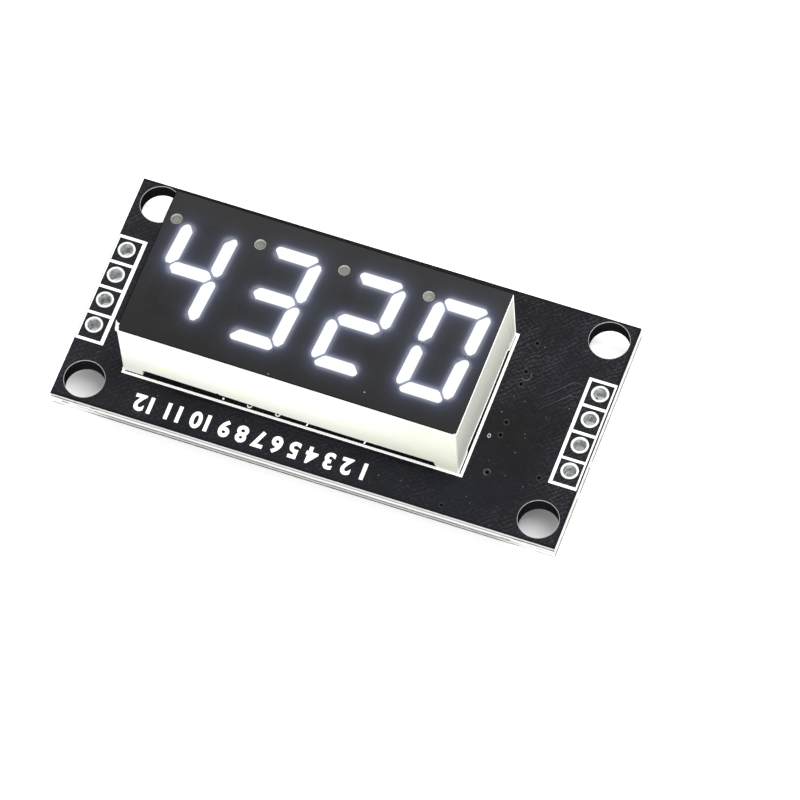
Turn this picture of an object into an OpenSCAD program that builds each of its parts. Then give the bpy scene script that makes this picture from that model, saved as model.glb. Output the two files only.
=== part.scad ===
// Four-digit seven segment display module.
// A display block stands on a small circuit board that has a row of four
// header holes at each end, four mounting holes, and its driver underneath.
// Origin: centre of the mounting hole pattern, on the underside of the board.
// +X runs along the digits as they are read, +Y to the tops of the digits,
// +Z out of the display face.

/* [Circuit board] */
// Length of the circuit board
board_x = 45.1; // [44.9:0.1:48]
// Width of the circuit board
board_y = 21.9; // [21.7:0.1:24]
// Middle of the board along its length, from the middle of the mounting holes
board_cx = -0.03; // [-0.1:0.01:0.1]
// Middle of the board across its width, from the middle of the mounting holes
board_cy = -0.11; // [-0.15:0.01:0.15]
// Thickness of the circuit board
board_t = 1.6; // [1:0.1:2]
// Distance between mounting hole centres along the board
mount_dx = 40.64; // [40:0.02:41]
// Distance between mounting hole centres across the board
mount_dy = 17.78; // [17.5:0.02:18]
// Diameter of the mounting holes
mount_d = 3.5; // [3:0.1:3.5]

/* [Header holes] */
// Number of holes in each header row
header_n = 4; // [2:1:4]
// Pitch of the header holes
header_pitch = 2.54; // [2:0.02:2.54]
// Half the distance between the two header rows
header_x = 21.36; // [20.8:0.02:21.4]
// Shift of both header rows along the board
header_dx = -0.08; // [-0.1:0.02:0.1]
// Finished diameter of a header hole
header_d = 1.16; // [0.9:0.02:1.2]
// Diameter of the tinned ring around a header hole
header_ring_d = 1.53; // [1.4:0.01:1.7]

/* [Display] */
// Length of the display block
disp_x = 30.2; // [30.2:0.1:30.4]
// Width of the display block
disp_y = 14; // [13.8:0.1:14.2]
// Height of the display block above the board
disp_h = 7.3; // [6.5:0.1:9]
// Middle of the display along the board
disp_cx = -2.45; // [-2.6:0.05:-2]
// Middle of the display across the board
disp_cy = -0.05; // [-0.2:0.05:0.2]
// Angle in degrees by which the block sits turned on its pins
disp_turn = -0.24; // [-0.4:0.02:0.4]
// Gap under the raised skirt of the display
skirt_gap = 0.68; // [0.4:0.02:1]
// Thickness of the skirt and the side walls
wall = 0.7; // [0.5:0.1:0.8]
// Radius of the upright corners
corner_r = 0.2; // [0.1:0.05:0.4]
// Thickness of the black face film
film_t = 0.2; // [0.1:0.05:0.4]

/* [Digits] */
// Distance from one digit to the next
digit_pitch = 7.54; // [7.5:0.02:7.6]
// Shift of the row of digits along the display
digits_dx = 0.15; // [-0.1:0.01:0.16]
// Shift of the row of digits across the display
digits_dy = 0.02; // [-0.1:0.01:0.1]
// Size of the digits, as a share of a 9.46 mm high digit
digit_scale = 1; // [0.9:0.01:1.02]
// Diameter of the decimal points
point_d = 1; // [0.7:0.02:1.1]
// Place of a decimal point from the middle of its digit, along the digits
point_x = -2.94; // [-3:0.02:-2.8]
// Place of a decimal point from the middle of its digit, upwards
point_y = 4.39; // [4:0.01:4.5]

/* [Display pins] */
// Number of pins in each row
pins_n = 6; // [2:1:6]
// Pitch of the pins
pin_pitch = 2.54; // [2.5:0.02:2.54]
// Distance between the two rows of pins
pin_rows = 10.16; // [10:0.02:10.2]
// Diameter of a pin
pin_d = 0.5; // [0.4:0.05:0.6]
// Length of the pin tails below the board
tail = 1.3; // [0.8:0.1:1.5]

/* [Driver] */
// Length of the driver body
chip_x = 9.9; // [9:0.1:10.5]
// Width of the driver body
chip_y = 3.9; // [3.5:0.1:4.2]
// Distance from the board to the far face of the driver
chip_h = 1.75; // [1.6:0.05:2]
// Middle of the driver along the board
chip_cx = -1.5; // [-2.5:0.1:0]
// Number of leads along each side
leads_n = 8; // [4:1:8]
// Pitch of the leads
lead_pitch = 1.27; // [1:0.01:1.27]

/* [Hidden] */
$fn = 48;

eps = 0.01;
cu = 0.04;                       // thickness of the copper and tin on the board
face_z = board_t + disp_h;       // outer face of the film
top_z = face_z - film_t;         // top of the white housing
skirt_z = board_t + skirt_gap;   // lower rim of the skirt
carrier_t = 1.0;                 // thickness of the LED carrier board
carrier_z = skirt_z + carrier_t; // top of the LED carrier board
led = [0.36, 0.36, 0.16];        // one LED chip
plated_r = header_d/2 + 0.04;    // drilled radius of a header hole
pin_hole_r = 0.4;                // finished radius of a display pin hole
pin_ring_r = 0.78;               // radius of the ring around it
via_r = 0.25;                    // outside radius of a via barrel
via_hole_r = 0.15;               // inside radius of a via barrel

header_y = [for (i = [0 : header_n - 1]) (i - (header_n - 1)/2)*header_pitch];
pin_x = [for (i = [0 : pins_n - 1]) disp_cx + (i - (pins_n - 1)/2)*pin_pitch];
digit_x = [for (i = [0 : 3]) digits_dx + (i - 1.5)*digit_pitch]; // from the middle of the display

// Vias on the bare right-hand part of the board and at its near edge
vias = [[14.68, 6.66], [14.68, 2.58], [14.73, -1.21], [14.68, -2.51],
        [19.07, -5.25], [12.25, -10.28], [14.82, -6.15], [14.68, 3.82]];

// Outlines of the upper segments from the middle of a digit. The lower ones
// are the same outlines turned half a turn.
seg_a = [[-1.25, 4.77], [2, 4.77], [2.2, 4.6], [2.28, 4.4], [1.63, 3.65], [-0.98, 3.66], [-1.53, 4.34], [-1.46, 4.6]];
seg_b = [[1.54, 0.75], [2, 0.27], [2.3, 0.27], [2.58, 0.62], [2.8, 3.8], [2.6, 4.12], [2.36, 4.13], [1.7, 3.5]];
seg_f = [[-2.49, 0.6], [-2.33, 0.25], [-1.9, 0.25], [-1.36, 0.85], [-1.18, 3.62], [-1.6, 4.2], [-1.92, 4.2], [-2.26, 3.78]];
seg_g = [[-1.92, 0], [-1.45, 0.57], [1.45, 0.57], [1.92, 0], [1.45, -0.57], [-1.45, -0.57]];

function half_turn(s) = [for (p = s) [-p[0], -p[1]]];
// Segments in the usual order a, b, c, d, e, f, g
segments = [seg_a, seg_b, half_turn(seg_f), half_turn(seg_a), half_turn(seg_b), seg_f, seg_g];
function total(v, i = 0) = i >= len(v) ? [0, 0] : v[i] + total(v, i + 1);
function middle(s) = total(s)/len(s);
// Segments that are lit for the digits 0 to 9
LIT = [[1,1,1,1,1,1,0], [0,1,1,0,0,0,0], [1,1,0,1,1,0,1], [1,1,1,1,0,0,1], [0,1,1,0,0,1,1],
       [1,0,1,1,0,1,1], [1,0,1,1,1,1,1], [1,1,1,0,0,0,0], [1,1,1,1,1,1,1], [1,1,1,1,0,1,1]];
shown = [4, 3, 2, 0];

// ---------------------------------------------------------------- helpers
module rounded(x, y, r) {
    square([x - 2*r, y], center = true);
    square([x, y - 2*r], center = true);
    for (sx = [-1, 1], sy = [-1, 1]) translate([sx*(x/2 - r), sy*(y/2 - r)]) circle(r);
}

module mount_places() {
    for (sx = [-1, 1], sy = [-1, 1]) translate([sx*mount_dx/2, sy*mount_dy/2]) children();
}

module header_places(x) { for (y = header_y) translate([x, y]) children(); }

module pin_places(side) {
    for (x = pin_x) translate([x, disp_cy + side*pin_rows/2]) children();
}

module via_places() { for (v = vias) translate(v) children(); }

module segment_shape(i) { scale(digit_scale) polygon(segments[i]); }

// The frame of the display block, which sits slightly turned on the board
module turned() { translate([disp_cx, disp_cy, 0]) rotate([0, 0, disp_turn]) children(); }

module digit_places() { turned() for (x = digit_x) translate([x, digits_dy]) children(); }

module point_place() { scale(digit_scale) translate([point_x, point_y]) children(); }

// ---------------------------------------------------------------- board
module printed_circuit_board() {
    color([0.1, 0.1, 0.11]) difference() {
        translate([board_cx - board_x/2, board_cy - board_y/2, 0]) cube([board_x, board_y, board_t]);
        mount_places() translate([0, 0, -1]) cylinder(r = mount_d/2, h = board_t + 2, $fn = 64);
        for (s = [-1, 1]) header_places(header_dx + s*header_x) translate([0, 0, -1]) cylinder(r = plated_r, h = board_t + 2);
        for (s = [-1, 1]) pin_places(s) translate([0, 0, -1]) cylinder(r = pin_hole_r + 0.04, h = board_t + 2);
        via_places() translate([0, 0, -1]) cylinder(r = via_r, h = board_t + 2, $fn = 24);
    }
}

// A plated hole: a barrel with a ring on each side of the board
module eyelet(r_in, wall_t, r_ring) {
    rotate_extrude() polygon([
        [r_in, -cu], [r_ring, -cu], [r_ring, 0], [r_in + wall_t, 0],
        [r_in + wall_t, board_t], [r_ring, board_t], [r_ring, board_t + cu], [r_in, board_t + cu]]);
}

module header_pads(x) {
    color([0.86, 0.87, 0.86]) header_places(x) eyelet(header_d/2, 0.04, header_ring_d/2);
}
module header_pads_left() { header_pads(header_dx - header_x); }
module header_pads_right() { header_pads(header_dx + header_x); }

module via_barrels() {
    color([0.16, 0.16, 0.17]) via_places() difference() {
        cylinder(r = via_r, h = board_t, $fn = 24);
        translate([0, 0, -1]) cylinder(r = via_hole_r, h = board_t + 2, $fn = 24);
    }
}

module display_hole_plating() {
    color([0.8, 0.8, 0.78]) for (s = [-1, 1]) pin_places(s) eyelet(pin_hole_r, 0.04, pin_ring_r);
}

// ---------------------------------------------------------------- display
// Cuts the gaps between the feet under the skirt. The rim of the skirt is
// slightly bowed, with a nick in its near side, and the near left-hand foot
// stands a little clear of the board.
module skirt_gaps() {
    translate([0, disp_y, 0]) rotate([90, 0, 0]) linear_extrude(2*disp_y)
        polygon([[-13.26, board_t - 1], [-13.26, skirt_z], [-13.2, skirt_z + 0.18], [-13, skirt_z + 0.28],
                 [-7, skirt_z + 0.23], [-6.62, skirt_z + 0.22], [-6.48, skirt_z + 0.34], [-6.3, skirt_z + 0.2],
                 [0, skirt_z + 0.03], [6, skirt_z], [12.92, skirt_z + 0.14], [13.07, board_t + 0.09], [13.07, board_t - 1]]);
    translate([-disp_x, 0, 0]) rotate([90, 0, 90]) linear_extrude(2*disp_x)
        polygon([[-4.95, board_t - 1], [-4.95, board_t], [-4.84, skirt_z - 0.06], [-3, skirt_z - 0.16],
                 [0, skirt_z - 0.24], [3, skirt_z - 0.14], [4.93, skirt_z], [5.37, board_t], [5.37, board_t - 1]]);
    translate([-disp_x, -disp_y, board_t - 1]) cube([disp_x - 13, disp_y - 5.5, 1.06]);
}

module display_housing() {
    color([0.93, 0.94, 0.9]) difference() {
        turned() difference() {
            union() {
                translate([0, 0, board_t]) linear_extrude(top_z - board_t) rounded(disp_x, disp_y, corner_r);
                // thin flash left by the mould at the near left-hand corner
                translate([0, 0, top_z - 0.35]) linear_extrude(0.35)
                    polygon([[-15, -6.44], [-15.14, -6.4], [-15.3, -6.3], [-15.24, -6.7], [-15.21, -6.95], [-15, -6.98]]);
                translate([0, 0, top_z - 0.12]) linear_extrude(0.3)
                    polygon([[-15.37, -6.2], [-15.16, -6.42], [-14.98, -6.41], [-14.99, -6.66], [-14.9, -6.84],
                             [-15, -6.97], [-15.2, -6.93], [-15.23, -6.72], [-15.31, -6.48]]);
            }
            // recess for the carrier board, open at the bottom
            translate([wall - disp_x/2, wall - disp_y/2, board_t - 1])
                cube([disp_x - 2*wall, disp_y - 2*wall, carrier_z - board_t + 1]);
            skirt_gaps();
        }
        // light shafts of the segments and the points
        digit_places() {
            for (i = [0 : 6]) translate([0, 0, carrier_z - 1]) linear_extrude(disp_h) segment_shape(i);
            translate([0, 0, carrier_z - 1]) linear_extrude(disp_h) point_place() circle(r = point_d/2 - 0.05);
        }
    }
}

module face_film() {
    color([0.2, 0.2, 0.21]) difference() {
        turned() translate([0, 0, top_z]) linear_extrude(film_t) rounded(disp_x, disp_y, corner_r);
        digit_places() {
            for (i = [0 : 6]) translate([0, 0, top_z - 1]) linear_extrude(film_t + 2) segment_shape(i);
            translate([0, 0, top_z - 1]) linear_extrude(film_t + 2) point_place() circle(r = point_d/2);
        }
        // torn corners of the film
        turned() translate([0, 0, top_z - 1]) linear_extrude(film_t + 2) {
            polygon([[-15.5, -6.3], [-15.09, -6.35], [-14.94, -6.37], [-14.96, -6.66], [-14.86, -6.86], [-14.8, -7.2], [-15.5, -7.2]]);
            polygon([[15.3, -6.8], [15.03, -6.86], [14.89, -6.84], [14.79, -7.2], [15.3, -7.2]]);
        }
    }
}

// Resin in the seven slots of one digit, each with its LED chip set into it
module digit_segments(n) {
    turned() translate([digit_x[n], digits_dy, 0]) for (i = [0 : 6]) {
        c = middle(segments[i])*digit_scale;
        color(LIT[shown[n]][i] == 1 ? [0.97, 0.98, 1] : [0.24, 0.24, 0.25]) difference() {
            translate([0, 0, carrier_z]) linear_extrude(face_z - carrier_z) segment_shape(i);
            translate([c[0] - led[0]/2, c[1] - led[1]/2, carrier_z - 1]) cube([led[0], led[1], led[2] + 1]);
        }
    }
}
module digit_1_segments() { digit_segments(0); }
module digit_2_segments() { digit_segments(1); }
module digit_3_segments() { digit_segments(2); }
module digit_4_segments() { digit_segments(3); }

module decimal_points() {
    color([0.65, 0.66, 0.6]) digit_places() point_place() difference() {
        translate([0, 0, carrier_z]) cylinder(r = point_d/2 - 0.05, h = top_z - carrier_z);
        translate([-led[0]/2, -led[1]/2, carrier_z - 1]) cube([led[0], led[1], led[2] + 1]);
    }
}

module led_carrier_board() {
    color([0.8, 0.83, 0.74]) difference() {
        turned() translate([wall + 0.05 - disp_x/2, wall + 0.05 - disp_y/2, skirt_z])
            cube([disp_x - 2*wall - 0.1, disp_y - 2*wall - 0.1, carrier_t]);
        for (s = [-1, 1]) pin_places(s) translate([0, 0, skirt_z - 1]) cylinder(r = pin_d/2, h = carrier_t + 2, $fn = 32);
    }
}

module led_chips() {
    color([0.85, 0.8, 0.45]) digit_places() {
        for (i = [0 : 6]) {
            c = middle(segments[i])*digit_scale;
            translate([c[0] - led[0]/2, c[1] - led[1]/2, carrier_z]) cube(led);
        }
        point_place() translate([-led[0]/2, -led[1]/2, carrier_z]) cube(led);
    }
}

module display_pins(side) {
    color([0.8, 0.8, 0.79]) pin_places(side) {
        translate([0, 0, -tail + 0.12]) cylinder(r = pin_d/2, h = carrier_z + tail - 0.12, $fn = 32);
        translate([0, 0, -tail]) cylinder(r1 = pin_d/2 - 0.1, r2 = pin_d/2, h = 0.12, $fn = 32);
    }
}
module display_pins_far() { display_pins(1); }
module display_pins_near() { display_pins(-1); }

// Solder fills each plated hole around the pin and rises along its tail
module display_solder_joints() {
    color([0.75, 0.76, 0.77]) for (s = [-1, 1]) pin_places(s) rotate_extrude() polygon([
        [pin_d/2, board_t], [pin_hole_r, board_t], [pin_hole_r, -cu], [pin_ring_r - 0.03, -cu],
        [0.62, -0.16], [0.5, -0.34], [0.41, -0.56], [0.34, -0.8], [pin_d/2, -0.98]]);
}

// ---------------------------------------------------------------- driver
lead_w = 0.42;
lead_t = 0.2;
lead_reach = 3.0;
body_gap = 0.2;      // from the board to the driver body
body_mid = -(body_gap + chip_h)/2;

module lead_places() {
    for (s = [0, 180], i = [0 : leads_n - 1])
        translate([chip_cx, 0, 0]) rotate([0, 0, s]) translate([(i - (leads_n - 1)/2)*lead_pitch, 0, 0]) children();
}

module driver_chip_body() {
    color([0.13, 0.13, 0.14]) difference() {
        translate([chip_cx, 0, 0]) hull() {
            translate([-chip_x/2, -chip_y/2, body_mid - lead_t/2]) cube([chip_x, chip_y, lead_t]);
            translate([-chip_x/2 + 0.12, -chip_y/2 + 0.12, -chip_h]) cube([chip_x - 0.24, chip_y - 0.24, chip_h - body_gap]);
        }
        // dimple that marks the first lead
        translate([chip_cx - chip_x/2 + 0.9, -chip_y/2 + 0.85, -chip_h - 1]) cylinder(r = 0.35, h = 1.08);
    }
}

module driver_chip_leads() {
    color([0.78, 0.78, 0.78]) lead_places() translate([-lead_w/2, 0, 0]) rotate([90, 0, 90]) linear_extrude(lead_w)
        polygon([[chip_y/2, body_mid - lead_t/2], [2.3, body_mid - lead_t/2], [2.42, body_mid - 0.02],
                 [2.62, -cu - lead_t], [lead_reach, -cu - lead_t], [lead_reach, -cu], [2.46, -cu],
                 [2.24, body_mid + 0.02], [2.2, body_mid + lead_t/2], [chip_y/2, body_mid + lead_t/2]]);
}

module driver_chip_solder() {
    color([0.75, 0.76, 0.77]) lead_places() translate([-0.26, 0, 0]) rotate([90, 0, 90]) linear_extrude(0.52)
        polygon([[lead_reach, -cu], [lead_reach, -cu - 0.19], [lead_reach + 0.1, -cu - 0.1], [lead_reach + 0.3, -cu]]);
}

// ---------------------------------------------------------------- small parts
// Each entry: middle, turn, length, width, height
capacitors = [[[9.6, 0.2], 90, 2.0, 1.25, 0.95], [[12.4, 0.3], 90, 1.6, 0.8, 0.8]];
resistors = [[[16.2, 3.4], 0, 1.6, 0.8, 0.45], [[16.2, 1.2], 0, 1.6, 0.8, 0.45], [[-15.6, 0.6], 90, 1.6, 0.8, 0.45]];
end_l = 0.35;
end_t = 0.03;

module place(p) { translate(p[0]) rotate([0, 0, p[1]]) children(); }

// The bare block of a small part, hanging under the board
module block(p, inset = 0) {
    translate([-p[2]/2 + inset, -p[3]/2 + inset, -cu - p[4] + inset])
        cube([p[2] - 2*inset, p[3] - 2*inset, p[4] - 2*inset]);
}

// Metal caps that wrap both ends of a small part
module ends(p) {
    difference() {
        block(p);
        block(p, end_t);
        translate([-p[2]/2 + end_l, -p[3], -p[4] - 1]) cube([p[2] - 2*end_l, 2*p[3], p[4] + 2]);
    }
}

module capacitor_bodies() {
    color([0.62, 0.5, 0.38]) for (c = capacitors) place(c) block(c, end_t);
}
module capacitor_ends() {
    color([0.8, 0.8, 0.8]) for (c = capacitors) place(c) ends(c);
}
module resistor_bodies() {
    color([0.92, 0.92, 0.9]) for (r = resistors) place(r) block(r, end_t);
}
module resistor_ends() {
    color([0.8, 0.8, 0.8]) for (r = resistors) place(r) ends(r);
}
// Protective coat on the outer face of each resistor, between its ends
module resistor_coats() {
    color([0.1, 0.1, 0.1]) for (r = resistors) place(r)
        translate([-r[2]/2 + end_l, -r[3]/2 + end_t, -cu - r[4]]) cube([r[2] - 2*end_l, r[3] - 2*end_t, end_t]);
}
module passive_solder() {
    color([0.75, 0.76, 0.77]) for (p = concat(capacitors, resistors)) place(p) for (s = [0, 180]) rotate([0, 0, s])
        translate([p[2]/2, p[3]/2, 0]) rotate([90, 0, 0]) linear_extrude(p[3])
            polygon([[0, -cu], [0, -cu - p[4]*0.7], [0.1, -cu - p[4]*0.32], [0.26, -cu - 0.06], [0.34, -cu]]);
}

module rear_pads() {
    color([0.78, 0.77, 0.72]) {
        lead_places() translate([-0.3, 2.35, -cu]) cube([0.6, 1.1, cu]);
        for (p = concat(capacitors, resistors)) place(p) for (s = [-1, 1])
            translate([s*(p[2]/2) - 0.4, -p[3]/2 - 0.05, -cu]) cube([0.8, p[3] + 0.1, cu]);
    }
}

printed_circuit_board();
header_pads_left();
header_pads_right();
via_barrels();
display_housing();
face_film();
digit_1_segments();
digit_2_segments();
digit_3_segments();
digit_4_segments();
decimal_points();
led_carrier_board();
led_chips();
display_pins_far();
display_pins_near();
display_hole_plating();
display_solder_joints();
driver_chip_body();
driver_chip_leads();
driver_chip_solder();
capacitor_bodies();
capacitor_ends();
resistor_bodies();
resistor_coats();
resistor_ends();
passive_solder();
rear_pads();
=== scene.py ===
import math
import random

import bmesh
import bpy
import numpy as np
from mathutils import Matrix, Vector


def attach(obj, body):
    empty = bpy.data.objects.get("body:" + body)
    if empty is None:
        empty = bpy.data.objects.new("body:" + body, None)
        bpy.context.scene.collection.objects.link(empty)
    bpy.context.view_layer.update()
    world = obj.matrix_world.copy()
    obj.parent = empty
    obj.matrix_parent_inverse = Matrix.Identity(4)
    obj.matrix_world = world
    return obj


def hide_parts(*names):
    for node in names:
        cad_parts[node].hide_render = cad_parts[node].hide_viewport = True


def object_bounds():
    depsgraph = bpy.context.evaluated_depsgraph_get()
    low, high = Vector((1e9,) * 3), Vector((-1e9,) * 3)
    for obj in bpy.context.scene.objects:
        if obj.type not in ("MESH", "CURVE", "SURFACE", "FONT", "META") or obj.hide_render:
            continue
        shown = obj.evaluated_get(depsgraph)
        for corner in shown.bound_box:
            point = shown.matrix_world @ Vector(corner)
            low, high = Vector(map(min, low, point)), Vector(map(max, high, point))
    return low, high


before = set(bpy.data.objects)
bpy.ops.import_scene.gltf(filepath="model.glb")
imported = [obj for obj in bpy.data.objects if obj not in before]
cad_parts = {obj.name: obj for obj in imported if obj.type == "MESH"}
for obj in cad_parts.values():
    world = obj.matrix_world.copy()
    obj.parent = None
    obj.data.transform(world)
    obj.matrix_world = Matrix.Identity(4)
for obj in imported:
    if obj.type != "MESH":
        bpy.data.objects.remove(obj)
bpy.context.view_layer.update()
MM = 0.001
scene = bpy.context.scene

# ------------------------------------------------------------------ sizes, mm
BOARD_X, BOARD_Y, BOARD_T = 45.1, 21.9, 1.6
BOARD_C = (-0.03, -0.11)
DISP_X, DISP_Y, DISP_CX, DISP_CY = 30.2, 14.0, -2.45, -0.05
DISP_TURN = math.radians(-0.24)
FACE_Z, TOP_Z, SKIRT_Z, CARRIER_Z = 8.9, 8.7, 2.28, 3.28
HEADER_L, HEADER_R, PITCH = -21.44, 21.28, 2.54
MOUNT = (20.32, 8.89, 1.75)
# middles of the digits, in the slightly turned frame of the display
DIGIT_X = [0.15 + (i - 1.5) * 7.54 for i in range(4)]
DIGIT_Y = 0.02
POINT = (-2.94, 4.39)
SEG_A = [(-1.25, 4.77), (2.0, 4.77), (2.2, 4.6), (2.28, 4.4), (1.63, 3.65), (-0.98, 3.66), (-1.53, 4.34), (-1.46, 4.6)]
SEG_B = [(1.54, 0.75), (2.0, 0.27), (2.3, 0.27), (2.58, 0.62), (2.8, 3.8), (2.6, 4.12), (2.36, 4.13), (1.7, 3.5)]
SEG_F = [(-2.49, 0.6), (-2.33, 0.25), (-1.9, 0.25), (-1.36, 0.85), (-1.18, 3.62), (-1.6, 4.2), (-1.92, 4.2), (-2.26, 3.78)]
SEG_G = [(-1.92, 0), (-1.45, 0.57), (1.45, 0.57), (1.92, 0), (1.45, -0.57), (-1.45, -0.57)]


def on_display(x, y):
    """From the frame of the display to the frame of the board, in mm."""
    c, d = math.cos(DISP_TURN), math.sin(DISP_TURN)
    return DISP_CX + x * c - y * d, DISP_CY + x * d + y * c


def half_turn(s):
    return [(-x, -y) for x, y in s]


SEGMENTS = [SEG_A, SEG_B, half_turn(SEG_F), half_turn(SEG_A), half_turn(SEG_B), SEG_F, SEG_G]
LIT = {4: "bcfg", 3: "abcdg", 2: "abdeg", 0: "abcdef"}
SHOWN = [4, 3, 2, 0]
# centre line of each segment, in the order a to g
LINES = [[(-0.85, 4.21), (1.6, 4.21)], [(2.08, 0.85), (2.22, 3.55)], [(1.72, -3.6), (1.95, -0.85)],
         [(-1.6, -4.21), (0.85, -4.21)], [(-2.22, -3.55), (-2.08, -0.85)], [(-1.95, 0.85), (-1.72, 3.6)],
         [(-1.36, 0), (1.36, 0)]]


# ------------------------------------------------------------------ node tools
class Tree:
    """Short ways to make shader nodes."""

    def __init__(self, name):
        self.mat = bpy.data.materials.new(name)
        self.mat.use_nodes = True
        self.t = self.mat.node_tree
        self.n = self.t.nodes
        self.bsdf = next(n for n in self.n if n.type == "BSDF_PRINCIPLED")
        self._co = None

    def new(self, kind, **kw):
        node = self.n.new(kind)
        for k, v in kw.items():
            setattr(node, k, v)
        return node

    def put(self, value, socket):
        if isinstance(value, bpy.types.NodeSocket):
            self.t.links.new(value, socket)
        else:
            socket.default_value = value

    def math(self, op, a, b=None, c=None, clamp=False):
        node = self.new("ShaderNodeMath", operation=op, use_clamp=clamp)
        for i, v in enumerate((a, b, c)):
            if v is not None:
                self.put(v, node.inputs[i])
        return node.outputs[0]

    def vec(self, op, a, b=None, scale=None):
        node = self.new("ShaderNodeVectorMath", operation=op)
        self.put(a, node.inputs[0])
        if b is not None:
            self.put(b, node.inputs[1])
        if scale is not None:
            self.put(scale, node.inputs["Scale"])
        return node.outputs["Value"] if op in ("DOT_PRODUCT", "LENGTH", "DISTANCE") else node.outputs[0]

    def mm(self):
        """Place on the object, in millimetres."""
        if self._co is None:
            tc = self.new("ShaderNodeTexCoord")
            self._co = self.vec("SCALE", tc.outputs["Object"], scale=1000.0)
        return self._co

    def xyz(self):
        s = self.new("ShaderNodeSeparateXYZ")
        self.put(self.mm(), s.inputs[0])
        return s.outputs[0], s.outputs[1], s.outputs[2]

    def normal_xyz(self):
        g = self.new("ShaderNodeNewGeometry")
        s = self.new("ShaderNodeSeparateXYZ")
        self.put(g.outputs["Normal"], s.inputs[0])
        return s.outputs[0], s.outputs[1], s.outputs[2]

    def stretched(self, sx, sy, sz):
        return self.vec("MULTIPLY", self.mm(), (sx, sy, sz))

    def noise(self, scale, detail=3.0, rough=0.5, vector=None, distortion=0.0):
        node = self.new("ShaderNodeTexNoise")
        self.put(vector if vector is not None else self.mm(), node.inputs["Vector"])
        node.inputs["Scale"].default_value = scale
        node.inputs["Detail"].default_value = detail
        node.inputs["Roughness"].default_value = rough
        node.inputs["Distortion"].default_value = distortion
        return node.outputs["Fac"]

    def voronoi(self, scale, vector=None, feature="F1"):
        node = self.new("ShaderNodeTexVoronoi", feature=feature)
        self.put(vector if vector is not None else self.mm(), node.inputs["Vector"])
        node.inputs["Scale"].default_value = scale
        return node.outputs["Distance"]

    def ramp(self, fac, lo, hi, a=0.0, b=1.0, smooth=True):
        node = self.new("ShaderNodeMapRange", interpolation_type="SMOOTHSTEP" if smooth else "LINEAR")
        self.put(fac, node.inputs["Value"])
        node.inputs["From Min"].default_value = lo
        node.inputs["From Max"].default_value = hi
        node.inputs["To Min"].default_value = a
        node.inputs["To Max"].default_value = b
        return node.outputs[0]

    def mix(self, fac, a, b):
        node = self.new("ShaderNodeMix", data_type="RGBA")
        self.put(fac, node.inputs[0])
        for v, s in ((a, node.inputs[6]), (b, node.inputs[7])):
            self.put(v if isinstance(v, bpy.types.NodeSocket) else (*v, 1.0), s)
        return node.outputs[2]

    def bands(self, fac, stops):
        """Grey that follows a list of (place, brightness) stops."""
        node = self.new("ShaderNodeValToRGB")
        ramp = node.color_ramp
        while len(ramp.elements) < len(stops):
            ramp.elements.new(0.5)
        for e, (at, v) in zip(ramp.elements, stops):
            e.position = at
            e.color = (v, v, v, 1.0)
        self.put(fac, node.inputs[0])
        return node.outputs[0]

    def bump(self, height, strength=0.3, distance=0.00002):
        node = self.new("ShaderNodeBump")
        self.put(height, node.inputs["Height"])
        node.inputs["Strength"].default_value = strength
        node.inputs["Distance"].default_value = distance
        self.put(node.outputs[0], self.bsdf.inputs["Normal"])

    def set(self, **kw):
        names = {"base": "Base Color", "rough": "Roughness", "metal": "Metallic", "ior": "IOR",
                 "spec": "Specular IOR Level", "coat": "Coat Weight", "coat_rough": "Coat Roughness",
                 "emit": "Emission Color", "power": "Emission Strength", "sss": "Subsurface Weight",
                 "trans": "Transmission Weight"}
        for k, v in kw.items():
            s = self.bsdf.inputs[names[k]]
            if not isinstance(v, bpy.types.NodeSocket) and s.type == "RGBA" and len(v) == 3:
                v = (*v, 1.0)
            self.put(v, s)
        return self


# ------------------------------------------------------------------ materials
GLOW_EDGE, GLOW_TAIL, GLOW_REACH = 0.15, 0.125, 0.46
FILM_A, FILM_B = (0.0145, 0.0145, 0.0152), (0.0165, 0.0165, 0.0175)


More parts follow.
